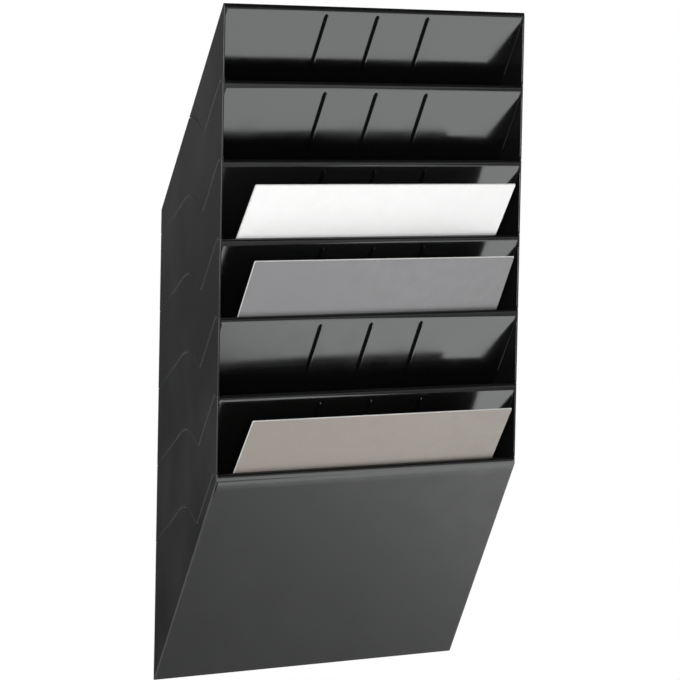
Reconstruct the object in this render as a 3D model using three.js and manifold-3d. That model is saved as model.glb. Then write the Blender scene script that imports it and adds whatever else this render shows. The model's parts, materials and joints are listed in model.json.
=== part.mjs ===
// Wall-hung chart rack with slanted pockets, in millimetres.
// X runs across the rack, -Y faces the room, the wall is the plane y = 0 and +Z is up.
// The origin lies on the wall, midway between the two keyholes of the highest back strip.
//
// The rack is a stack of mouldings that nest into each other from below. Each one has a slanted wall
// with a lip at the front, two side skins and an upright back strip. The wall of one moulding is the
// front of the pocket above it and the back of the pocket below it. Neighbouring side skins meet along
// a seam that follows the slant from the lip, swings up over a shoulder and falls back to the wall.

import * as THREE from 'three';
import { mergeVertices } from 'three/addons/utils/BufferGeometryUtils.js';
import Module from 'manifold-3d';

// Charts: A4 laid landscape; lean is in degrees beyond the slant of the walls
const CHART_WIDTH = 297;
const CHART_LENGTH = 210;
const CHART_THICK = 2;
const CHART_CORNER = 1.5;
const CHART_SHIFT = 1.5;
const CHART_LEAN = 4;

// Rack
const POCKET_COUNT = 6;
const TIER_PITCH = 68;
const RACK_DEPTH = 86;
const WALL_DROP = 183.5;
const SIDE_ROOM = 21.8;

// Moulded walls
const WALL = 2.8;
const SKIN = 2.2;
const STRIP = 2.2;
const LIP_ROUND = 2.8;
const TOP_FLAT = 0.8;
const SKIN_EDGE = 0.9;
const CORNER_ROUND = 2;

// Clearances
const SEAM_GAP = 0.3;
const FIT_GAP = 0.4;
const SEAT_GAP = 0.3;

// Seam between neighbouring side skins, as depth behind the front plane and drop below the lip
const SEAM_SETBACK = 4.4;
const SEAM_RUN = 24;
const SEAM_TROUGH = 4.5;
const SHOULDER_DEPTH = 43;
const SHOULDER_DROP = 32;
const SHOULDER_RISE = 11;
const SHOULDER_FALL = 8;
const LEG_DEPTH = 62;
const LEG_DROP = 46;
const LEG_LEAD = 7;
const SEAM_LAP = 3;

// Ribs under each slanted wall
const RIB_COUNT = 3;
const RIB_SPACING = 58;
const RIB_THICK = 1.2;
const RIB_HEIGHT = 2.5;
const RIB_TIP = 1.1;
const RIB_START = 2.6;
const RIB_LENGTH = 130;
const RIB_TAPER = 3.2;

// Raised rim along the top of the lower panel, in two steps
const RIM_BAND = 9;
const RIM_PROUD = 0.7;
const RIM_SECOND_BAND = 16;
const RIM_SECOND_PROUD = 0.35;

// Ledge that carries the lower edge of a chart, measured down the slant from the lip
const LEDGE_AT = 159;
const LEDGE_RISE = 16.5;
const LEDGE_THICK = 2;

// Snap tabs that hang in front of the next strip, with a bead in that strip's window
const TAB_OFFSET = 62;
const TAB_WIDTH = 36;
const TAB_THICK = 1.6;
const TAB_DROP = 10;
const BEAD_HEIGHT = 2;
const BEAD_PROUD = 1.2;
const BEAD_UP = 2.5;
const WINDOW_ROOM = 0.5;

// Keyholes in each back strip
const KEYHOLE_OFFSET = 120;
const KEYHOLE_UP = 34;
const KEYHOLE_HEAD = 4.6;
const KEYHOLE_SLOT = 2.3;
const KEYHOLE_RISE = 9;

// Number of chords in each rounded stretch
const SEAM_STEPS = 7;
const EDGE_STEPS = 2;
const ROUND_STEPS = 4;
const HOLE_STEPS = 6;

// Worked out from the sizes above
const RACK_WIDTH = CHART_WIDTH + 2 * (SIDE_ROOM + SKIN);
const SLOPE = WALL_DROP / RACK_DEPTH;
const TILT = Math.atan2(RACK_DEPTH, WALL_DROP);
const LIP_FACE = WALL / Math.sin(TILT);
const FOOT = -LIP_FACE - WALL_DROP;
const STRIP_TOP = FOOT + TIER_PITCH - FIT_GAP;
const CLEAR_WIDTH = RACK_WIDTH - 2 * (SKIN + FIT_GAP);
const MOULDING_COUNT = POCKET_COUNT + 1;
const MOUNT_HEIGHT = (POCKET_COUNT - 1) * TIER_PITCH + KEYHOLE_UP;

// Unit directions in the side view: down the slant, out of its lower face and out of its upper face
const DOWN = new THREE.Vector2(Math.sin(TILT), -Math.cos(TILT));
const UNDER = new THREE.Vector2(-Math.cos(TILT), -Math.sin(TILT));
const OVER = UNDER.clone().negate();

const wasm = await Module();
wasm.setup();

// Turns a closed three.js geometry into a solid that can be cut and joined
function solidOf(geometry) {
  const bare = geometry.index ? geometry.toNonIndexed() : geometry.clone();
  bare.deleteAttribute('normal');
  bare.deleteAttribute('uv');
  const merged = mergeVertices(bare);
  const vertProperties = new Float32Array(merged.attributes.position.array);
  const triVerts = new Uint32Array(merged.index.array);
  return new wasm.Manifold(new wasm.Mesh({ numProp: 3, vertProperties, triVerts }));
}

function geometryOf(solid) {
  const mesh = solid.getMesh();
  const geometry = new THREE.BufferGeometry();
  geometry.setAttribute('position', new THREE.BufferAttribute(new Float32Array(mesh.vertProperties), 3));
  geometry.setIndex(new THREE.BufferAttribute(new Uint32Array(mesh.triVerts), 1));
  geometry.computeVertexNormals();
  return geometry;
}

// Extrudes a side-view shape (depth behind the front plane, height) across the rack
function acrossRack(shape, width, { centre = 0, edge = 0 } = {}) {
  const geometry = new THREE.ExtrudeGeometry(shape, {
    depth: width - 2 * edge,
    bevelEnabled: edge > 0,
    bevelThickness: edge,
    bevelSize: edge,
    bevelOffset: -edge,
    bevelSegments: EDGE_STEPS,
    curveSegments: ROUND_STEPS,
  });
  geometry.translate(0, 0, edge - width / 2);
  geometry.applyMatrix4(new THREE.Matrix4().makeBasis(
    new THREE.Vector3(0, 1, 0),
    new THREE.Vector3(0, 0, 1),
    new THREE.Vector3(1, 0, 0),
  ));
  geometry.translate(centre, -RACK_DEPTH, 0);
  return solidOf(geometry);
}

function polygon(points) {
  return new THREE.Shape(points.map(([depth, height]) => new THREE.Vector2(depth, height)));
}

// A point on a slanted face: its start at the lip, a distance down the slant and a distance off the face
function onSlant(start, down, off, normal) {
  return start.clone().addScaledVector(DOWN, down).addScaledVector(normal, off);
}

const LOWER_FACE = new THREE.Vector2(0, -LIP_FACE);
const UPPER_FACE = new THREE.Vector2(0, 0);

function upperFaceAt(depth) {
  return -depth * SLOPE;
}

function lowerFaceAt(depth) {
  return -LIP_FACE - depth * SLOPE;
}

// Moves a line that runs from the front plane to the wall sideways by an even gap
function besideLine(points, gap) {
  const normals = points.slice(1).map((point, index) => {
    const along = point.clone().sub(points[index]).normalize();
    return new THREE.Vector2(-along.y, along.x);
  });
  return points.map((point, index) => {
    if (index === 0 || index === points.length - 1) {
      const normal = normals[Math.min(index, normals.length - 1)];
      return point.clone().add(new THREE.Vector2(0, gap / normal.y));
    }
    const first = normals[index - 1];
    const middle = first.clone().add(normals[index]).normalize();
    return point.clone().addScaledVector(middle, gap / middle.dot(first));
  });
}

// The seam from the lip to the wall, lifted and with a gap above it
function seamPoints(lift, gap = 0) {
  const trough = new THREE.Vector2(SEAM_RUN, -(SEAM_RUN - SEAM_SETBACK) * SLOPE);
  const shoulder = new THREE.Vector2(SHOULDER_DEPTH, -SHOULDER_DROP);
  const leg = new THREE.Vector2(LEG_DEPTH, -LEG_DROP);
  const end = new THREE.Vector2(RACK_DEPTH, -TIER_PITCH);
  const legSlope = (end.y - leg.y) / (end.x - leg.x);
  const seam = new THREE.Path();
  seam.moveTo(0, 0);
  seam.lineTo(SEAM_SETBACK, 0);
  seam.lineTo(trough.x, trough.y);
  seam.bezierCurveTo(
    trough.x + SEAM_TROUGH, trough.y - SEAM_TROUGH * SLOPE,
    shoulder.x - SHOULDER_RISE, shoulder.y,
    shoulder.x, shoulder.y,
  );
  seam.bezierCurveTo(
    shoulder.x + SHOULDER_FALL, shoulder.y,
    leg.x - LEG_LEAD, leg.y - LEG_LEAD * legSlope,
    leg.x, leg.y,
  );
  seam.lineTo(end.x, end.y);
  return besideLine(seam.getPoints(SEAM_STEPS), gap).map((point) => [point.x, point.y + lift]);
}

// The side skin of one moulding, between its own seam and the next one down
function skinShape(isTop, isBottom) {
  const above = isTop
    ? [[0, TIER_PITCH], [RACK_DEPTH, TIER_PITCH]]
    : seamPoints(0);
  const below = isBottom
    ? [[0, -LIP_FACE], [RACK_DEPTH, FOOT]]
    : seamPoints(-TIER_PITCH, SEAM_GAP);
  return polygon([...above, ...below.reverse()]);
}

// Thin tongue along the inside of a skin's upper edge, lapped by the skin above it
function tongueShape() {
  return polygon([...seamPoints(SEAM_LAP), ...seamPoints(-SEAM_LAP).reverse()]);
}

// Everything under the slanted top of the rack, seen from the moulding with the given number
function underTopShape(number) {
  const top = number * TIER_PITCH;
  const margin = TIER_PITCH;
  const topSlope = upperFaceAt(RACK_DEPTH) / (RACK_DEPTH - TOP_FLAT);
  return polygon([
    [-margin, top],
    [TOP_FLAT, top],
    [RACK_DEPTH, top + upperFaceAt(RACK_DEPTH)],
    [RACK_DEPTH + margin, top + upperFaceAt(RACK_DEPTH) + margin * topSlope],
    [RACK_DEPTH + margin, FOOT - TIER_PITCH - margin * SLOPE],
    [-margin, FOOT - TIER_PITCH - margin * SLOPE],
  ]);
}

// Room for the skin and the tongue of the next moulding down
function underTongueShape() {
  const margin = TIER_PITCH;
  const seam = seamPoints(SEAM_LAP - TIER_PITCH, SEAM_GAP);
  return polygon([
    [-margin, seam[0][1]],
    ...seam,
    [RACK_DEPTH + margin, seam[seam.length - 1][1]],
    [RACK_DEPTH + margin, FOOT - margin],
    [-margin, FOOT - margin],
  ]);
}

// Section of the slanted wall: a plain edge on the top cover, a round lip and a back strip on the trays
function sectionShape(isTop) {
  const section = new THREE.Shape();
  section.moveTo(0, -LIP_FACE);
  if (isTop) {
    section.lineTo(0, 0);
    section.lineTo(TOP_FLAT, 0);
    section.lineTo(RACK_DEPTH, upperFaceAt(RACK_DEPTH));
  } else {
    const middle = new THREE.Vector2(LIP_ROUND, -LIP_ROUND);
    const stand = middle.dot(OVER);
    const down = middle.dot(DOWN) + Math.sqrt(LIP_ROUND ** 2 - stand ** 2);
    const foot = onSlant(UPPER_FACE, down, 0, OVER);
    const last = Math.atan2(foot.y - middle.y, foot.x - middle.x);
    section.lineTo(0, -LIP_ROUND);
    section.absarc(middle.x, middle.y, LIP_ROUND, Math.PI, Math.PI / 2, true);
    section.absarc(middle.x, middle.y, LIP_ROUND, Math.PI / 2, 0, true);
    section.absarc(middle.x, middle.y, LIP_ROUND, 0, last, true);
    section.lineTo(RACK_DEPTH - STRIP, upperFaceAt(RACK_DEPTH - STRIP));
    section.lineTo(RACK_DEPTH - STRIP, STRIP_TOP);
    section.lineTo(RACK_DEPTH, STRIP_TOP);
  }
  section.lineTo(RACK_DEPTH, FOOT);
  section.closePath();
  return section;
}

// Raised rim along the top of the lower panel
function rimShape() {
  const root = -WALL / 2;
  const steps = [
    [RIM_SECOND_BAND, root],
    [RIM_SECOND_BAND, RIM_SECOND_PROUD],
    [RIM_BAND, RIM_SECOND_PROUD],
    [RIM_BAND, RIM_PROUD],
  ];
  const corners = steps.map(([down, off]) => onSlant(LOWER_FACE, down, off, UNDER));
  return new THREE.Shape([
    ...corners,
    new THREE.Vector2(0, -LIP_FACE - RIM_PROUD / Math.sin(TILT)),
    new THREE.Vector2(0, -LIP_FACE - root / Math.sin(TILT)),
  ]);
}

// Rounded corner between the lower face of the wall and a side skin; side is -1 for left, 1 for right
function cornerFillet(side) {
  const root = WALL / 4;
  const shape = new THREE.Shape();
  shape.moveTo(side * root, -root);
  shape.lineTo(-side * CORNER_ROUND, -root);
  for (let step = 0; step <= ROUND_STEPS; step += 1) {
    const angle = (step / ROUND_STEPS) * Math.PI / 2;
    shape.lineTo(-side * CORNER_ROUND * (1 - Math.sin(angle)), CORNER_ROUND * (1 - Math.cos(angle)));
  }
  shape.lineTo(side * root, CORNER_ROUND);
  shape.closePath();
  const geometry = new THREE.ExtrudeGeometry(shape, {
    depth: Math.hypot(RACK_DEPTH, WALL_DROP),
    bevelEnabled: false,
  });
  geometry.applyMatrix4(new THREE.Matrix4().makeBasis(
    new THREE.Vector3(1, 0, 0),
    new THREE.Vector3(0, UNDER.x, UNDER.y),
    new THREE.Vector3(0, DOWN.x, DOWN.y),
  ));
  geometry.translate(side * (RACK_WIDTH / 2 - SKIN), -RACK_DEPTH, -LIP_FACE);
  return solidOf(geometry);
}

function ribShape() {
  const end = RIB_START + RIB_LENGTH;
  const root = -WALL / 2;
  const outline = [
    [RIB_START, root],
    [RIB_START, RIB_TIP],
    [RIB_START + RIB_TAPER, RIB_HEIGHT],
    [end - RIB_TAPER, RIB_HEIGHT],
    [end, RIB_TIP],
    [end, root],
  ];
  return new THREE.Shape(outline.map(([down, off]) => onSlant(LOWER_FACE, down, off, UNDER)));
}

function ledgeShape() {
  const root = -WALL / 2;
  const outline = [
    [LEDGE_AT, root],
    [LEDGE_AT, LEDGE_RISE],
    [LEDGE_AT + LEDGE_THICK, LEDGE_RISE],
    [LEDGE_AT + LEDGE_THICK, root],
  ];
  return new THREE.Shape(outline.map(([down, off]) => onSlant(UPPER_FACE, down, off, OVER)));
}

// Snap tab under the foot of a wall: it lies in front of the next strip and its bead points to the wall
function tabShape() {
  const back = RACK_DEPTH - STRIP - FIT_GAP;
  const front = back - TAB_THICK;
  const root = (upperFaceAt(back) + lowerFaceAt(front)) / 2;
  const bottom = FOOT - TAB_DROP;
  const beadLow = bottom + BEAD_UP;
  return polygon([
    [front, root],
    [front, bottom],
    [back, bottom],
    [back, beadLow],
    [back + FIT_GAP + BEAD_PROUD, beadLow + BEAD_PROUD / 2],
    [back + FIT_GAP + BEAD_PROUD, beadLow + BEAD_HEIGHT],
    [back, beadLow + BEAD_HEIGHT],
    [back, root],
  ]);
}

// Opening in a strip for the bead of the moulding above it
function windowSolid(centre) {
  const low = FOOT + TIER_PITCH - TAB_DROP + BEAD_UP - WINDOW_ROOM;
  const height = BEAD_HEIGHT + 2 * WINDOW_ROOM;
  const cutDepth = 3 * STRIP;
  const geometry = new THREE.BoxGeometry(TAB_WIDTH + 2 * WINDOW_ROOM, cutDepth, height);
  geometry.translate(centre, 0, low + height / 2);
  return solidOf(geometry);
}

// Keyhole through a strip: a screw head enters the round part and hangs in the slot above it
function keyholeSolid(centre) {
  const neck = Math.asin(KEYHOLE_SLOT / KEYHOLE_HEAD);
  const shape = new THREE.Shape();
  shape.moveTo(KEYHOLE_SLOT, KEYHOLE_HEAD * Math.cos(neck));
  shape.lineTo(KEYHOLE_SLOT, KEYHOLE_RISE);
  shape.absarc(0, KEYHOLE_RISE, KEYHOLE_SLOT, 0, Math.PI, false);
  shape.lineTo(-KEYHOLE_SLOT, KEYHOLE_HEAD * Math.cos(neck));
  shape.absarc(0, 0, KEYHOLE_HEAD, Math.PI / 2 + neck, Math.PI * 5 / 2 - neck, false);
  const cutDepth = 3 * STRIP;
  const geometry = new THREE.ExtrudeGeometry(shape, {
    depth: cutDepth,
    bevelEnabled: false,
    curveSegments: HOLE_STEPS,
  });
  geometry.applyMatrix4(new THREE.Matrix4().makeBasis(
    new THREE.Vector3(1, 0, 0),
    new THREE.Vector3(0, 0, 1),
    new THREE.Vector3(0, -1, 0),
  ));
  geometry.translate(centre, cutDepth / 2, FOOT + KEYHOLE_UP);
  return solidOf(geometry);
}

// One moulding, with the top front edge of its lip at height zero
function mouldingGeometry(number) {
  const isTop = number === 0;
  const isBottom = number === MOULDING_COUNT - 1;
  const skin = skinShape(isTop, isBottom);
  const innerFace = RACK_WIDTH / 2 - SKIN;
  const tongue = (SKIN - SEAM_GAP) / 2;
  const rebate = FIT_GAP + SKIN - tongue;

  let sides = acrossRack(skin, SKIN, { centre: -innerFace - SKIN / 2, edge: SKIN_EDGE });
  sides = sides.add(acrossRack(skin, SKIN, { centre: innerFace + SKIN / 2, edge: SKIN_EDGE }));
  if (!isTop) {
    for (const side of [-1, 1]) {
      sides = sides.add(acrossRack(tongueShape(), tongue, { centre: side * (innerFace + tongue / 2) }));
    }
  }
  sides = sides.intersect(acrossRack(underTopShape(number), RACK_WIDTH, { edge: SKIN_EDGE }));

  let body = sides.add(acrossRack(sectionShape(isTop), RACK_WIDTH - SKIN));
  if (!isBottom) {
    const fillets = cornerFillet(-1).add(cornerFillet(1));
    body = body.add(fillets.intersect(acrossRack(skin, RACK_WIDTH)));
    for (const side of [-1, 1]) {
      const centre = side * (CLEAR_WIDTH / 2 + rebate / 2);
      body = body.subtract(acrossRack(underTongueShape(), rebate, { centre }));
    }
  }

  if (!isBottom) {
    for (let rib = 0; rib < RIB_COUNT; rib += 1) {
      const centre = (rib - (RIB_COUNT - 1) / 2) * RIB_SPACING;
      body = body.add(acrossRack(ribShape(), RIB_THICK, { centre }));
    }
    for (const side of [-1, 1]) {
      body = body.add(acrossRack(tabShape(), TAB_WIDTH, { centre: side * TAB_OFFSET }));
    }
  }
  if (isBottom) {
    body = body.add(acrossRack(rimShape(), RACK_WIDTH - 2 * SKIN));
  }
  if (!isTop) {
    body = body.add(acrossRack(ledgeShape(), CLEAR_WIDTH));
    for (const side of [-1, 1]) {
      body = body.subtract(windowSolid(side * TAB_OFFSET));
      body = body.subtract(keyholeSolid(side * KEYHOLE_OFFSET));
    }
  }
  return geometryOf(body);
}

function chartGeometry() {
  const half = CHART_WIDTH / 2;
  const shape = new THREE.Shape();
  shape.moveTo(-half + CHART_CORNER, 0);
  shape.lineTo(half - CHART_CORNER, 0);
  shape.absarc(half - CHART_CORNER, CHART_CORNER, CHART_CORNER, -Math.PI / 2, 0, false);
  shape.absarc(half - CHART_CORNER, CHART_LENGTH - CHART_CORNER, CHART_CORNER, 0, Math.PI / 2, false);
  shape.absarc(-half + CHART_CORNER, CHART_LENGTH - CHART_CORNER, CHART_CORNER, Math.PI / 2, Math.PI, false);
  shape.absarc(-half + CHART_CORNER, CHART_CORNER, CHART_CORNER, Math.PI, Math.PI * 3 / 2, false);
  const geometry = new THREE.ExtrudeGeometry(shape, {
    depth: CHART_THICK,
    bevelEnabled: false,
    curveSegments: ROUND_STEPS,
  });
  const corners = new THREE.BufferGeometry();
  corners.setAttribute('position', geometry.attributes.position);
  const bare = mergeVertices(corners);
  bare.computeVertexNormals();
  return bare;
}

function blackPlastic() {
  return new THREE.MeshStandardMaterial({ color: 0x1b1c1c, roughness: 0.28, metalness: 0 });
}

function chartPaper(color) {
  return new THREE.MeshStandardMaterial({ color, roughness: 0.75, metalness: 0 });
}

function mouldingName(number) {
  if (number === 0) {
    return 'top_cover';
  }
  return number === MOULDING_COUNT - 1 ? 'bottom_tray' : `pocket_tray_${number}`;
}

// Height of a moulding's lip above the foot of the bottom tray
function lipHeight(number) {
  return (POCKET_COUNT - number) * TIER_PITCH - FOOT;
}

const rack = new THREE.Group();
rack.position.z = -MOUNT_HEIGHT;

for (let number = 0; number < MOULDING_COUNT; number += 1) {
  const moulding = new THREE.Mesh(mouldingGeometry(number), blackPlastic());
  moulding.name = mouldingName(number);
  moulding.position.z = lipHeight(number);
  rack.add(moulding);
}

// Each chart stands on the ledge of its pocket and leans on the lip in front of it
const CHARTS = [
  { name: 'chart_white', pocket: 3, shift: -CHART_SHIFT, lean: CHART_LEAN, color: 0xf2f2f0 },
  { name: 'chart_grey', pocket: 4, shift: CHART_SHIFT, lean: 0, color: 0x8c8c8e },
  { name: 'chart_taupe', pocket: POCKET_COUNT, shift: 0, lean: CHART_LEAN, color: 0x98938e },
];

for (const { name, pocket, shift, lean, color } of CHARTS) {
  const angle = THREE.MathUtils.degToRad(lean);
  const down = DOWN.clone().rotateAround(UPPER_FACE, angle);
  const under = UNDER.clone().rotateAround(UPPER_FACE, angle);
  const touch = new THREE.Vector2(LIP_ROUND, -LIP_ROUND).addScaledVector(under, -LIP_ROUND - SEAT_GAP);
  const below = (LEDGE_AT - SEAT_GAP - touch.dot(DOWN)) / Math.cos(angle);
  const foot = touch.addScaledVector(down, below).addScaledVector(under, -CHART_THICK);
  const chart = new THREE.Mesh(chartGeometry(), chartPaper(color));
  chart.name = name;
  chart.position.set(shift, foot.x - RACK_DEPTH, lipHeight(pocket) + foot.y);
  chart.quaternion.setFromRotationMatrix(new THREE.Matrix4().makeBasis(
    new THREE.Vector3(1, 0, 0),
    new THREE.Vector3(0, -down.x, -down.y),
    new THREE.Vector3(0, under.x, under.y),
  ));
  rack.add(chart);
}

const part = new THREE.Group();
part.add(rack);

export default part;
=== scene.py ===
"""Wall-hung chart rack with slanted pockets: its looks, its charts and a plain studio around it."""

import json
import logging
import math
from dataclasses import dataclass, field
from enum import Enum
from typing import Any, Callable, Sequence

import bpy
from mathutils import Matrix, Vector

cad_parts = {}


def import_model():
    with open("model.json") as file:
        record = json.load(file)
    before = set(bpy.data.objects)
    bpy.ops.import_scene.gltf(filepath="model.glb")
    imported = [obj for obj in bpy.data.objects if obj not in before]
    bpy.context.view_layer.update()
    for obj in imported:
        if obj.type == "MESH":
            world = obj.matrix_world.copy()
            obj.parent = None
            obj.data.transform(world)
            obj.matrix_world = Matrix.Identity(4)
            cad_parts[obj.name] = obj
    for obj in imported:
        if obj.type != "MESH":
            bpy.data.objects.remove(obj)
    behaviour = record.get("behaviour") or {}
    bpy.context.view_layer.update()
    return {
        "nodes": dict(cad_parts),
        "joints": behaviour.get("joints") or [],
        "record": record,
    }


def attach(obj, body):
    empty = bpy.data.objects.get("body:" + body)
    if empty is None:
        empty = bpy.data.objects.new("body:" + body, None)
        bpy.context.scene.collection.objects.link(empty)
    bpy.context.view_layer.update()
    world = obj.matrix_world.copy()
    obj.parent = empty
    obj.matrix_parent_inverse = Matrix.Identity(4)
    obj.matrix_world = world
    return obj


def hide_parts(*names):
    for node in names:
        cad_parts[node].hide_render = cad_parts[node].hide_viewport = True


LOG = logging.getLogger("chart_rack")
MM = 0.001

Triple = tuple[float, float, float]
Colour = Triple
Span = tuple[float, float]
Socket = bpy.types.NodeSocket

RISING: Span = (0.0, 1.0)
FALLING: Span = (1.0, 0.0)

# Sockets of a Mix node for its share, its two colours and the result; their names are not unique
MIX_INPUTS = (0, 6, 7)
MIX_OUTPUT = 2


class Shade(Enum):
    """Colour of a chart's card cover, in linear light."""

    WHITE = (0.88, 0.88, 0.875)
    GREY = (0.222, 0.222, 0.228)
    TAUPE = (0.292, 0.264, 0.238)


@dataclass(frozen=True)
class Pattern:
    """Cloudy pattern on a piece's own coordinates, with the stretch of its values that shows."""

    scale: float
    detail: float = 3.0
    stretch: Triple = (1.0, 1.0, 1.0)
    lean: float = 0.0
    shown: Span = (0.3, 0.7)


@dataclass(frozen=True)
class Relief:
    """Fine relief of a surface: its pattern, its depth and the share of it that shows."""

    pattern: Pattern
    depth: float
    share: float


@dataclass(frozen=True)
class Polish:
    """What a mould's polish gives the plastic."""

    ior: float
    rough: Span
    lip_rough: float
    grain: Relief


class Sheen(Enum):
    """How a moulded surface takes the light."""

    GLOSS = Polish(
        ior=1.53, rough=(0.13, 0.19), lip_rough=1.0,
        grain=Relief(Pattern(2600.0, 2.0), depth=0.02 * MM, share=0.25))
    SATIN = Polish(
        ior=1.47, rough=(0.34, 0.42), lip_rough=0.4,
        grain=Relief(Pattern(1500.0, 2.0), depth=0.04 * MM, share=0.6))


def deselect_all() -> None:
    """Leaves edit mode and deselects every object."""
    if bpy.context.object and bpy.context.object.mode != "OBJECT":
        bpy.ops.object.mode_set(mode="OBJECT")
    bpy.ops.object.select_all(action="DESELECT")


def make_active(piece: bpy.types.Object) -> None:
    """Makes one object the only selected and the active one.

    Args:
        piece: the object.
    """
    deselect_all()
    piece.select_set(True)
    bpy.context.view_layer.objects.active = piece


def select_in_mesh(piece: bpy.types.Object, kind: str, test: Callable[[Any], bool]) -> None:
    """Selects the vertices, edges or faces of a mesh that pass a test, and enters edit mode.

    Args:
        piece: the mesh object.
        kind: "VERT", "EDGE" or "FACE".
        test: takes a vertex, an edge or a face and says whether it is selected.
    """
    make_active(piece)
    bpy.ops.object.mode_set(mode="EDIT")
    bpy.ops.mesh.select_mode(type=kind)
    bpy.ops.mesh.select_all(action="DESELECT")
    bpy.ops.object.mode_set(mode="OBJECT")
    mesh = piece.data
    members = {"VERT": mesh.vertices, "EDGE": mesh.edges, "FACE": mesh.polygons}[kind]
    for member in members:
        member.select = test(member)
    bpy.ops.object.mode_set(mode="EDIT")


def edge_ends(mesh: bpy.types.Mesh, edge: bpy.types.MeshEdge) -> tuple[Vector, Vector]:
    """Returns the two end points of an edge."""
    first, second = edge.vertices
    return mesh.vertices[first].co, mesh.vertices[second].co


def apply_modifier(piece: bpy.types.Object, kind: str, **settings: Any) -> None:
    """Adds a modifier with the given settings and applies it.

    Args:
        piece: the mesh object.
        kind: Blender's name of the modifier type.
        settings: values of the modifier.
    """
    make_active(piece)
    modifier = piece.modifiers.new(kind.title(), kind)
    for name, value in settings.items():
        setattr(modifier, name, value)
    bpy.ops.object.modifier_apply(modifier=modifier.name)


class NodeSheet:
    """Short way to lay out the nodes of a material or of the world."""

    def __init__(self, tree: bpy.types.NodeTree) -> None:
        """Works on one node tree."""
        self.tree = tree

    def add(self, kind: str, **settings: Any) -> bpy.types.Node:
        """Adds a node.

        Args:
            kind: Blender's node class.
            settings: properties of the node.

        Returns:
            The new node.
        """
        node = self.tree.nodes.new(kind)
        for name, value in settings.items():
            setattr(node, name, value)
        return node

    def feed(self, target: Socket, value: Any) -> None:
        """Gives an input socket its value.

        Args:
            target: the input socket.
            value: a socket to join to it, or a value to set on it.
        """
        if isinstance(value, bpy.types.NodeSocket):
            self.tree.links.new(value, target)
        else:
            target.default_value = value

    def parted(self, vector: Socket) -> bpy.types.NodeOutputs:
        """Splits a vector.

        Args:
            vector: the socket with the vector.

        Returns:
            The sockets "X", "Y" and "Z".
        """
        node = self.add("ShaderNodeSeparateXYZ")
        self.feed(node.inputs[0], vector)
        return node.outputs

    def ranged(self, value: Socket, source: Span, target: Sequence[Any]) -> Socket:
        """Maps a value from one range to another, held at the ends.

        Args:
            value: the socket to map.
            source: the values that come in at the two ends.
            target: the values or sockets that go out at the two ends.

        Returns:
            The socket with the mapped value.
        """
        node = self.add("ShaderNodeMapRange")
        for position, part in enumerate((value, *source, *target)):
            self.feed(node.inputs[position], part)
        return node.outputs[0]

    def combine(self, operation: str, first: Socket, *others: Any) -> Socket:
        """Combines values, one after the other.

        Args:
            operation: Blender's name of the operation.
            first: the socket to start from.
            others: sockets or numbers.

        Returns:
            The socket with the result.
        """
        result = first
        for other in others:
            node = self.add("ShaderNodeMath", operation=operation)
            self.feed(node.inputs[0], result)
            self.feed(node.inputs[1], other)
            result = node.outputs[0]
        return result

    def rays(self, *kinds: str) -> Socket:
        """Tells kinds of ray apart.

        Args:
            kinds: names of Light Path outputs.

        Returns:
            A socket that is 1 for rays of these kinds and 0 for others.
        """
        path = self.add("ShaderNodeLightPath")
        return self.combine("MAXIMUM", *(path.outputs[kind] for kind in kinds))


class FinishSheet(NodeSheet):
    """The nodes of one finish, around a Principled shader."""

    def __init__(self, name: str) -> None:
        """Starts the material.

        Args:
            name: the material's name.
        """
        self.material = bpy.data.materials.new(name)
        self.material.use_nodes = True
        super().__init__(self.material.node_tree)
        self.shader = self.tree.nodes["Principled BSDF"]
        self.coords = self.add("ShaderNodeTexCoord").outputs["Object"]

    def give(self, name: str, value: Any) -> None:
        """Feeds one of the shader's inputs with a socket or a value."""
        self.feed(self.shader.inputs[name], value)

    def noise(self, pattern: Pattern) -> Socket:
        """Lays a pattern on the piece.

        Args:
            pattern: the pattern.

        Returns:
            The socket with its plain value.
        """
        mapping = self.add("ShaderNodeMapping")
        self.feed(mapping.inputs["Vector"], self.coords)
        self.feed(mapping.inputs["Scale"], pattern.stretch)
        self.feed(mapping.inputs["Rotation"], (pattern.lean, 0.0, 0.0))
        noise = self.add("ShaderNodeTexNoise")
        self.feed(noise.inputs["Vector"], mapping.outputs["Vector"])
        self.feed(noise.inputs["Scale"], pattern.scale)
        self.feed(noise.inputs["Detail"], pattern.detail)
        return noise.outputs["Fac"]

    def clouds(self, pattern: Pattern, target: Span = RISING) -> Socket:
        """Lays a pattern on the piece between two values.

        Args:
            pattern: the pattern.
            target: value where the pattern starts to show, and where it shows in full.

        Returns:
            The socket with the value.
        """
        return self.ranged(self.noise(pattern), pattern.shown, target)

    def colour_between(self, amount: Socket, low: Colour, high: Colour) -> None:
        """Colours the piece between two tones.

        Args:
            amount: socket with the share of the second tone.
            low: the first tone.
            high: the second tone.
        """
        node = self.add("ShaderNodeMix", data_type="RGBA")
        for position, value in zip(MIX_INPUTS, (amount, (*low, 1), (*high, 1))):
            self.feed(node.inputs[position], value)
        self.give("Base Color", node.outputs[MIX_OUTPUT])

    def emboss(self, relief: Relief) -> None:
        """Gives the piece a fine relief.

        Args:
            relief: the relief.
        """
        node = self.add("ShaderNodeBump")
        self.feed(node.inputs["Strength"], relief.share)
        self.feed(node.inputs["Distance"], relief.depth)
        self.feed(node.inputs["Height"], self.noise(relief.pattern))
        self.give("Normal", node.outputs["Normal"])


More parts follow.
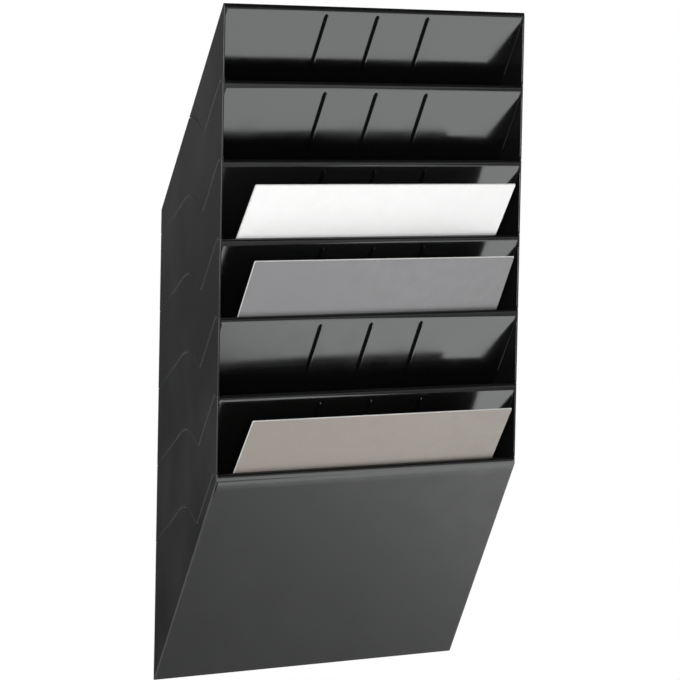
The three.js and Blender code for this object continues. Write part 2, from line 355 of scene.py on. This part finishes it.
@dataclass(frozen=True)
class MouldedPlastic:
    """Black moulded plastic with flow marks, rubbed lips, a painted highlight along the outer edges, and hazy
    satin sides with painted highlight streaks.

    The front and the side are the places of the lips' front and of the right side's outer face. Bands are
    given as depths behind them.
    """

    name: str
    sheen: Sheen
    front: float
    side: float
    colour: Colour = (0.0018, 0.002, 0.0019)
    # Lighter tone used both for real wear and for the painted highlights.
    pale_wear_and_highlight: Colour = (0.045, 0.0463, 0.045)
    tint: Colour = (0.965, 1.0, 0.98)
    lip_band: Span = (1.2 * MM, 0.1 * MM)
    outside_band: Span = (1.3 * MM, 0.7 * MM)
    # The next two bands hold a painted highlight just inside the outer side faces, over the rounded edges.
    edge_highlight_start: Span = (2.3 * MM, 0.9 * MM)
    edge_highlight_end: Span = (0.18 * MM, 0.02 * MM)
    flow: Pattern = Pattern(9.0, 4.0, (1.0, 0.6, 0.25))
    smudge: Pattern = Pattern(38.0, 5.0, shown=(0.35, 0.7))
    rubbing: Pattern = Pattern(900.0, 4.0, (0.25, 1.0, 1.0), shown=(0.5, 0.72))
    # Painted highlight streaks on the outer side faces, leaning down the slant.
    side_highlight_streaks: Pattern = Pattern(17.0, 3.0, (1.0, 1.5, 0.5), math.radians(-28), (0.42, 0.68))
    flow_share: float = 0.048
    scuff_share: float = 0.14
    side_highlight_share: float = 0.3
    # Strength of the painted edge highlight, and the share of it left on the lips' front.
    edge_highlight_share: float = 0.8
    front_edge_highlight_share: float = 0.2
    scuff_rough: float = 0.1
    outside_rough: float = 0.3

    def inwards(self, band: Span) -> Span:
        """Returns a band's two distances from the middle of the rack."""
        return self.side - band[0], self.side - band[1]

    def material(self) -> bpy.types.Material:
        """Makes the finish.

        Returns:
            The node material.
        """
        polish = self.sheen.value
        sheet = FinishSheet(self.name)
        place = sheet.parted(sheet.coords)
        across = sheet.combine("ABSOLUTE", place["X"], 0.0)
        lip = sheet.ranged(place["Y"], (self.front + self.lip_band[0], self.front + self.lip_band[1]), RISING)
        outer = sheet.ranged(across, self.inwards(self.outside_band), RISING)
        scuff = sheet.combine("MULTIPLY", lip, sheet.clouds(self.rubbing))

        # Painted highlight: pale leaning streaks on the outer side faces; the hazy roughness of these faces
        # is set further down.
        side_highlight_streaks = sheet.combine("MULTIPLY", outer, sheet.clouds(self.side_highlight_streaks, (0.0, self.side_highlight_share)))
        # Painted highlight: a pale band along the outer rounded edges, weaker on the lips' front.
        edge = sheet.combine(
            "MULTIPLY",
            sheet.ranged(across, self.inwards(self.edge_highlight_start), (0.0, self.edge_highlight_share)),
            sheet.ranged(across, self.inwards(self.edge_highlight_end), FALLING),
            sheet.ranged(lip, RISING, (1.0, self.front_edge_highlight_share)),
        )
        flow = sheet.clouds(self.flow, (0.0, self.flow_share))
        # Real flow marks and lip scuffs, together with the painted side and edge highlights, lighten the
        # black towards the pale tone.
        pale = sheet.combine("ADD", flow, sheet.combine("MULTIPLY", scuff, self.scuff_share), side_highlight_streaks, edge)
        sheet.colour_between(pale, self.colour, self.pale_wear_and_highlight)

        lip_rough = sheet.ranged(lip, RISING, (1.0, polish.lip_rough))
        smooth = sheet.combine("MULTIPLY", sheet.clouds(self.smudge, polish.rough), lip_rough)
        rubbed = sheet.combine("ADD", smooth, sheet.combine("MULTIPLY", scuff, self.scuff_rough))
        hazy = sheet.combine("MULTIPLY", outer, self.outside_rough)
        sheet.give("Roughness", sheet.combine("MAXIMUM", rubbed, hazy))
        sheet.give("IOR", polish.ior)
        sheet.give("Specular Tint", (*self.tint, 1))
        sheet.emboss(polish.grain)
        return sheet.material


@dataclass(frozen=True)
class Paper:
    """Paper or card: slight clouds of tone on a dull face with fine fibres."""

    name: str
    colour: Colour
    tones: Span = (0.985, 1.015)
    mottle: Pattern = Pattern(70.0, 6.0)
    rough: Span = (0.5, 0.68)
    dullness: Pattern = Pattern(120.0)
    specular: float = 0.35
    fibres: Relief = Relief(Pattern(1900.0, 4.0, (1.0, 0.5, 0.5)), 0.03 * MM, 0.45)

    def material(self) -> bpy.types.Material:
        """Makes the finish.

        Returns:
            The node material.
        """
        sheet = FinishSheet(self.name)
        darker, lighter = (tuple(part * tone for part in self.colour) for tone in self.tones)
        sheet.colour_between(sheet.clouds(self.mottle), darker, lighter)
        sheet.give("Roughness", sheet.clouds(self.dullness, self.rough))
        sheet.give("Specular IOR Level", self.specular)
        sheet.emboss(self.fibres)
        return sheet.material


PAGE_PAPER = Paper(
    "page_paper", (0.84, 0.835, 0.815), tones=(0.86, 1.0), rough=(0.72, 0.86), specular=0.25,
    mottle=Pattern(420.0, stretch=(0.05, 1.0, 1.0), shown=(0.35, 0.65)), dullness=Pattern(300.0),
    fibres=Relief(Pattern(2400.0), 0.02 * MM, 0.4))


@dataclass
class Rack:
    """The stack of nested mouldings, shown with smooth rounded corners."""

    nodes: dict[str, bpy.types.Object]
    slant: Vector
    body: str = "rack"
    upper: str = "top_cover"
    lower: str = "bottom_tray"
    nose: float = 2.0 * MM
    nose_height: float = 4.8 * MM
    smooth_angle: float = math.radians(50)
    crease_angle: float = math.radians(24)
    crease_length: float = 50 * MM
    merge: float = 1e-6
    flat: float = math.radians(0.4)
    pieces: list[bpy.types.Object] = field(default_factory=list)

    def build(self, members: Sequence[str]) -> list[bpy.types.Object]:
        """Makes a smooth copy of each moulding.

        Args:
            members: names of the rack's nodes.

        Returns:
            The pieces, in the same order.
        """
        for name in members:
            self.pieces.append(self.smooth_copy(name))
        return self.pieces

    def smooth_copy(self, name: str) -> bpy.types.Object:
        """Copies one moulding, joins its triangles and shades its rounded corners smoothly.

        Args:
            name: the node's name.

        Returns:
            The new piece.
        """
        node = self.nodes[name]
        piece = bpy.data.objects.new(f"{name}_shell", node.data.copy())
        piece.data.materials.clear()
        bpy.context.collection.objects.link(piece)
        make_active(piece)
        if piece.data.has_custom_normals:
            bpy.ops.mesh.customdata_custom_splitnormals_clear()
        bpy.ops.object.mode_set(mode="EDIT")
        bpy.ops.mesh.select_all(action="SELECT")
        bpy.ops.mesh.remove_doubles(threshold=self.merge)
        bpy.ops.mesh.dissolve_limited(angle_limit=self.flat)
        bpy.ops.object.mode_set(mode="OBJECT")
        if name == self.upper:
            self.draw_back_nose(piece)
        bpy.ops.object.shade_smooth_by_angle(angle=self.smooth_angle)
        if name != self.lower:
            self.crease(piece)
        apply_modifier(piece, "WEIGHTED_NORMAL", mode="FACE_AREA", keep_sharp=True)
        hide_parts(name)
        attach(piece, self.body)
        return piece

    def draw_back_nose(self, piece: bpy.types.Object) -> None:
        """Draws the cover's thin upper edge down along its slant, so that its front leans back.

        Args:
            piece: the cover.
        """
        top = max(vertex.co.z for vertex in piece.data.vertices)
        select_in_mesh(piece, "FACE", lambda face: True)
        bpy.ops.mesh.bisect(plane_co=(0, 0, top - self.nose_height), plane_no=(0, 0, 1))
        bpy.ops.object.mode_set(mode="OBJECT")
        select_in_mesh(piece, "VERT", lambda vertex: vertex.co.z > top - self.nose / 2)
        bpy.ops.transform.translate(value=-self.nose * self.slant)
        bpy.ops.object.mode_set(mode="OBJECT")

    def crease(self, piece: bpy.types.Object) -> None:
        """Keeps the long edges across a moulding crisp, such as the lower edge of its lip.

        Args:
            piece: the moulding, already shaded smoothly.
        """
        mesh = piece.data
        facing: dict[tuple[int, ...], list[Vector]] = {}
        for face in mesh.polygons:
            for key in face.edge_keys:
                facing.setdefault(key, []).append(face.normal.copy())
        select_in_mesh(piece, "EDGE", lambda edge: self.is_crease(mesh, edge, facing[edge.key]))
        bpy.ops.mesh.mark_sharp()
        bpy.ops.object.mode_set(mode="OBJECT")

    def is_crease(self, mesh: bpy.types.Mesh, edge: bpy.types.MeshEdge, sides: list[Vector]) -> bool:
        """Tells whether an edge is long, runs across the rack and turns sharply.

        Args:
            mesh: the moulding's mesh.
            edge: the edge.
            sides: normals of the faces that meet there.

        Returns:
            True for such an edge.
        """
        first, second = edge_ends(mesh, edge)
        if abs(first.x - second.x) < self.crease_length or len(sides) != 2:
            return False
        return sides[0].angle(sides[1]) > self.crease_angle

    def reach(self) -> Span:
        """Measures the mouldings.

        Returns:
            The places of the lips' front and of the right side's outer face.
        """
        points = [vertex.co for piece in self.pieces for vertex in piece.data.vertices]
        return min(point.y for point in points), max(point.x for point in points)

    def dress(self) -> None:
        """Gives the lower panel its satin finish and the other mouldings their gloss."""
        front, side = self.reach()
        shiny = MouldedPlastic("gloss_black", Sheen.GLOSS, front, side).material()
        dull = MouldedPlastic("satin_black", Sheen.SATIN, front, side).material()
        for piece in self.pieces:
            piece.data.materials.append(dull if piece.name.startswith(self.lower) else shiny)


@dataclass
class Chart:
    """A thin stack of pages in a folded card cover, standing in one pocket.

    Its pieces are modelled flat, with X across, Y up the slant from the fold and Z out of the front.
    """

    node: bpy.types.Object
    shade: Shade
    slot: str
    tilt: float
    card: float = 0.45 * MM
    card_edge: float = 0.1 * MM
    corner: float = 1.5 * MM
    corner_steps: int = 4
    fold_share: float = 0.3
    fold_steps: int = 3
    fold_reach: float = 0.15 * MM
    smooth_angle: float = math.radians(35)
    edge_angle: float = math.radians(50)
    edge_steps: int = 2
    page_count: int = 7
    page: float = 0.12 * MM
    page_out: float = 0.35 * MM
    page_drift: float = 0.14 * MM
    drift_wave: Span = (1.7, 0.2)
    page_turn: float = 0.0006
    turn_wave: Span = (2.3, 0.7)
    page_corner: float = 0.9 * MM
    page_steps: int = 3
    page_start: float = 0.6
    pieces: list[bpy.types.Object] = field(default_factory=list)

    def __post_init__(self) -> None:
        """Measures the chart's solid along the slant."""
        up = Vector((0, -math.sin(self.tilt), math.cos(self.tilt)))
        out = Vector((0, -math.cos(self.tilt), -math.sin(self.tilt)))
        points = [vertex.co.copy() for vertex in self.node.data.vertices]
        heights = [point.dot(up) for point in points]
        depths = [point.dot(out) for point in points]
        widths = [point.x for point in points]
        self.width = max(widths) - min(widths)
        self.length = max(heights) - min(heights)
        self.thick = max(depths) - min(depths)
        middle = (max(depths) + min(depths)) / 2
        across = (max(widths) + min(widths)) / 2
        self.foot = Vector((across, 0, 0)) + up * min(heights) + out * middle
        self.turn = Matrix((Vector((1, 0, 0)), up, out)).transposed().to_4x4()

    def build(self) -> list[bpy.types.Object]:
        """Makes the cover and the pages.

        Returns:
            The two pieces.
        """
        cover = self.settle(self.make_cover(), f"{self.node.name}_cover")
        pages = self.settle(self.make_pages(), f"{self.node.name}_pages")
        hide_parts(self.node.name)
        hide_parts(self.node.name)
        return self.pieces

    def settle(self, piece: bpy.types.Object, name: str) -> bpy.types.Object:
        """Turns a piece modelled flat into its place in the pocket.

        Args:
            piece: the piece.
            name: its final name.

        Returns:
            The same piece, at the origin, unturned and unscaled.
        """
        piece.name = name
        piece.data.name = name
        make_active(piece)
        piece.matrix_world = Matrix.Translation(self.foot) @ self.turn
        bpy.ops.object.transform_apply(location=True, rotation=True, scale=True)
        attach(piece, self.node.name)
        self.pieces.append(piece)
        return piece

    def is_across(self, mesh: bpy.types.Mesh, edge: bpy.types.MeshEdge) -> bool:
        """Tells whether an edge runs across the whole chart."""
        first, second = edge_ends(mesh, edge)
        return abs(first.x - second.x) > self.width / 2

    def is_fold(self, mesh: bpy.types.Mesh, edge: bpy.types.MeshEdge) -> bool:
        """Tells whether an edge is one of the two folds along the spine."""
        is_low = all(end.y < self.fold_reach for end in edge_ends(mesh, edge))
        return is_low and self.is_across(mesh, edge)

    def make_cover(self) -> bpy.types.Object:
        """Folds the card: a spine along the lower edge with a leaf on either side.

        Returns:
            The cover, modelled flat.
        """
        deselect_all()
        bpy.ops.mesh.primitive_plane_add(size=1, location=(0, 0, 0))
        cover = bpy.context.object
        cover.scale = (self.width, self.thick, 1)
        cover.rotation_euler = (math.pi / 2, 0, 0)
        bpy.ops.object.transform_apply(location=True, rotation=True, scale=True)
        mesh = cover.data

        select_in_mesh(cover, "EDGE", lambda edge: self.is_across(mesh, edge))
        bpy.ops.mesh.extrude_region_move(TRANSFORM_OT_translate={"value": (0, self.length, 0)})
        bpy.ops.object.mode_set(mode="OBJECT")
        select_in_mesh(cover, "VERT", lambda vertex: vertex.co.y > self.length / 2)
        bpy.ops.mesh.bevel(offset=self.corner, segments=self.corner_steps, affect="VERTICES")
        bpy.ops.mesh.select_all(action="SELECT")
        bpy.ops.mesh.normals_make_consistent(inside=False)
        bpy.ops.object.mode_set(mode="OBJECT")
        select_in_mesh(cover, "EDGE", lambda edge: self.is_fold(mesh, edge))
        bpy.ops.mesh.bevel(offset=self.thick * self.fold_share, segments=self.fold_steps, affect="EDGES")
        bpy.ops.object.mode_set(mode="OBJECT")
        self.face_outwards(cover)

        apply_modifier(cover, "SOLIDIFY", thickness=self.card, offset=-1.0)
        apply_modifier(
            cover, "BEVEL", width=self.card_edge, segments=self.edge_steps, limit_method="ANGLE",
            angle_limit=self.edge_angle)
        make_active(cover)
        bpy.ops.object.shade_smooth_by_angle(angle=self.smooth_angle)
        return cover

    def face_outwards(self, cover: bpy.types.Object) -> None:
        """Turns the leaves' normals away from the pages.

        Args:
            cover: the cover before it gets its thickness.
        """
        leaves = [face for face in cover.data.polygons if face.center.y > self.length / 4]
        front = max(leaves, key=lambda face: face.center.z)
        if front.normal.z < 0:
            select_in_mesh(cover, "FACE", lambda face: True)
            bpy.ops.mesh.flip_normals()
            bpy.ops.object.mode_set(mode="OBJECT")

    def make_pages(self) -> bpy.types.Object:
        """Stacks the pages.

        Returns:
            The pages as one piece, modelled flat.
        """
        leaves = [self.make_page(number) for number in range(self.page_count)]
        deselect_all()
        for leaf in leaves:
            leaf.select_set(True)
        bpy.context.view_layer.objects.active = leaves[0]
        bpy.ops.object.join()
        return bpy.context.object

    def make_page(self, number: int) -> bpy.types.Object:
        """Makes one page, a little out of line with the next.

        Args:
            number: its place in the stack, from the back.

        Returns:
            The page, modelled flat.
        """
        room = self.thick - 2 * self.card
        bottom = self.thick * self.page_start
        high = self.length + self.page_out - bottom
        sideways = self.page_drift * math.cos(self.drift_wave[0] * number + self.drift_wave[1])
        turn = self.page_turn * math.sin(self.turn_wave[0] * number + self.turn_wave[1])
        level = room * ((number + 0.5) / self.page_count - 0.5)
        deselect_all()
        bpy.ops.mesh.primitive_plane_add(size=1, location=(sideways, bottom + high / 2, level))
        leaf = bpy.context.object
        leaf.scale = (self.width + 2 * self.page_out, high, 1)
        leaf.rotation_euler = (0, 0, turn)
        bpy.ops.object.transform_apply(location=True, rotation=True, scale=True)
        bpy.ops.object.mode_set(mode="EDIT")
        bpy.ops.mesh.select_all(action="SELECT")
        bpy.ops.mesh.bevel(offset=self.page_corner, segments=self.page_steps, affect="VERTICES")
        bpy.ops.object.mode_set(mode="OBJECT")
        apply_modifier(leaf, "SOLIDIFY", thickness=self.page, offset=0.0)
        return leaf

    def dress(self, paper: bpy.types.Material) -> None:
        """Gives the cover its card and the pages their paper.

        Args:
            paper: the material of all pages.
        """
        card = Paper(f"{self.node.name}_card", self.shade.value).material()
        for piece, material in zip(self.pieces, (card, paper)):
            piece.data.materials.clear()
            piece.data.materials.append(material)


@dataclass(frozen=True)
class Lamp:
    """A soft studio lamp."""

    name: str
    place: Triple
    aim: Triple
    size: Span
    power: float

    def hang(self) -> None:
        """Puts the lamp up, turned to what it lights."""
        light = bpy.data.lights.new(self.name, "AREA")
        light.shape = "RECTANGLE"
        light.size, light.size_y = self.size
        light.energy = self.power
        lamp = bpy.data.objects.new(self.name, light)
        lamp.visible_camera = False
        lamp.location = self.place
        direction = Vector(self.aim) - Vector(self.place)
        lamp.rotation_euler = direction.to_track_quat("-Z", "Y").to_euler()
        bpy.context.collection.objects.link(lamp)


@dataclass
class Studio:
    """Plain white studio with soft lamps and the camera."""

    floor_height: float = -1.15
    floor_size: float = 60.0
    floor_tone: float = 0.8
    floor_rough: float = 0.9
    fill: float = 0.34
    horizon: Span = (0.02, 0.3)
    surround: Span = (1.0, 0.06)
    sideways: Span = (-0.5, 0.5)
    left_share: float = 0.6
    camera_place: Triple = (-2.2631, -2.8254, 0.1635)
    yaw: float = math.radians(39.093)
    pitch: float = math.radians(-3.8)
    roll: float = math.radians(1.112)
    focal_pixels: float = 4004.9
    image_pixels: float = 680.0
    sensor: float = 36.0
    far_limit: float = 200.0
    lamps: tuple[Lamp, ...] = (
        Lamp("low_softbox", (1.02, -0.80, -1.02), (0.0, -0.05, 0.0), (1.5, 1.2), 16.0),
        Lamp("front_softbox", (-1.6, -2.2, 0.4), (0.0, -0.05, 0.0), (1.4, 1.4), 50.0),
        Lamp("back_softbox", (-0.1, 1.6, 0.55), (-0.1, 0.0, 0.0), (1.6, 0.9), 10.0),
    )

    def build(self) -> None:
        """Sets up the light, the floor and the camera."""
        bpy.context.scene.view_settings.view_transform = "Standard"
        self.light_world()
        self.lay_floor()
        for lamp in self.lamps:
            lamp.hang()
        self.place_camera()

    def light_world(self) -> None:
        """Makes the surroundings white to the eye and a soft fill as a light.

        In reflections they are white at the horizon, darker to the left and nearly black overhead.
        """
        world = bpy.data.worlds.new("studio")
        bpy.context.scene.world = world
        world.use_nodes = True
        sheet = NodeSheet(world.node_tree)
        direction = sheet.parted(sheet.add("ShaderNodeTexCoord").outputs["Generated"])
        by_height = sheet.ranged(direction["Z"], self.horizon, self.surround)
        by_side = sheet.ranged(direction["X"], self.sideways, (self.left_share, by_height))
        mirrored = sheet.combine("MINIMUM", by_height, by_side)
        lit = sheet.ranged(sheet.rays("Is Glossy Ray"), RISING, (self.fill, mirrored))
        seen = sheet.ranged(sheet.rays("Is Camera Ray", "Is Transmission Ray"), RISING, (lit, 1.0))
        background = sheet.tree.nodes["Background"]
        sheet.feed(background.inputs["Color"], (1, 1, 1, 1))
        sheet.feed(background.inputs["Strength"], seen)

    def lay_floor(self) -> None:
        """Lays a pale floor below the rack, white to the eye."""
        deselect_all()
        bpy.ops.mesh.primitive_plane_add(size=self.floor_size, location=(0, 0, self.floor_height))
        floor = bpy.context.object
        floor.name = "floor"
        sheet = FinishSheet("floor_white")
        sheet.give("Base Color", (self.floor_tone, self.floor_tone, self.floor_tone, 1))
        sheet.give("Roughness", self.floor_rough)
        mix = sheet.add("ShaderNodeMixShader")
        glow = sheet.add("ShaderNodeEmission")
        parts = (sheet.rays("Is Camera Ray"), sheet.shader.outputs[0], glow.outputs[0])
        for position, part in enumerate(parts):
            sheet.feed(mix.inputs[position], part)
        sheet.feed(sheet.tree.nodes["Material Output"].inputs[0], mix.outputs[0])
        floor.data.materials.append(sheet.material)

    def place_camera(self) -> None:
        """Puts the camera at the viewing angle."""
        camera = bpy.data.cameras.new("camera")
        camera.sensor_width = self.sensor
        camera.lens = self.focal_pixels / self.image_pixels * self.sensor
        camera.clip_end = self.far_limit
        ahead = Vector((
            math.sin(self.yaw) * math.cos(self.pitch),
            math.cos(self.yaw) * math.cos(self.pitch),
            math.sin(self.pitch),
        ))
        level = Vector((math.cos(self.yaw), -math.sin(self.yaw), 0))
        rise = level.cross(ahead)
        right = math.cos(self.roll) * level + math.sin(self.roll) * rise
        up = -math.sin(self.roll) * level + math.cos(self.roll) * rise
        holder = bpy.data.objects.new("camera", camera)
        turn = Matrix((right, up, -ahead)).transposed().to_4x4()
        holder.matrix_world = Matrix.Translation(self.camera_place) @ turn
        bpy.context.collection.objects.link(holder)
        bpy.context.scene.camera = holder


def main() -> None:
    """Builds the rack, the charts and the studio in order."""
    logging.basicConfig(level=logging.INFO, format="%(message)s")
    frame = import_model()
    bodies = frame["record"]["behaviour"]["bodies"]
    nodes = frame["nodes"]
    slides = {joint["child"]: Vector(joint["axis"]) for joint in frame["joints"]}

    rack = Rack(nodes, slides["chart_grey"])
    for piece in rack.build(bodies[rack.body]):
        LOG.info("moulding %s: %d faces", piece.name, len(piece.data.polygons))
    rack.dress()

    paper = PAGE_PAPER.material()
    for shade in Shade:
        kind = shade.name.lower()
        slide = slides[f"chart_{kind}"]
        chart = Chart(nodes[f"chart_{kind}"], shade, f"paper_{kind}", math.atan2(-slide.y, slide.z))
        for piece in chart.build():
            LOG.info("chart piece %s: %d faces", piece.name, len(piece.data.polygons))
        chart.dress(paper)

    Studio().build()


if __name__ == "__main__":
    main()
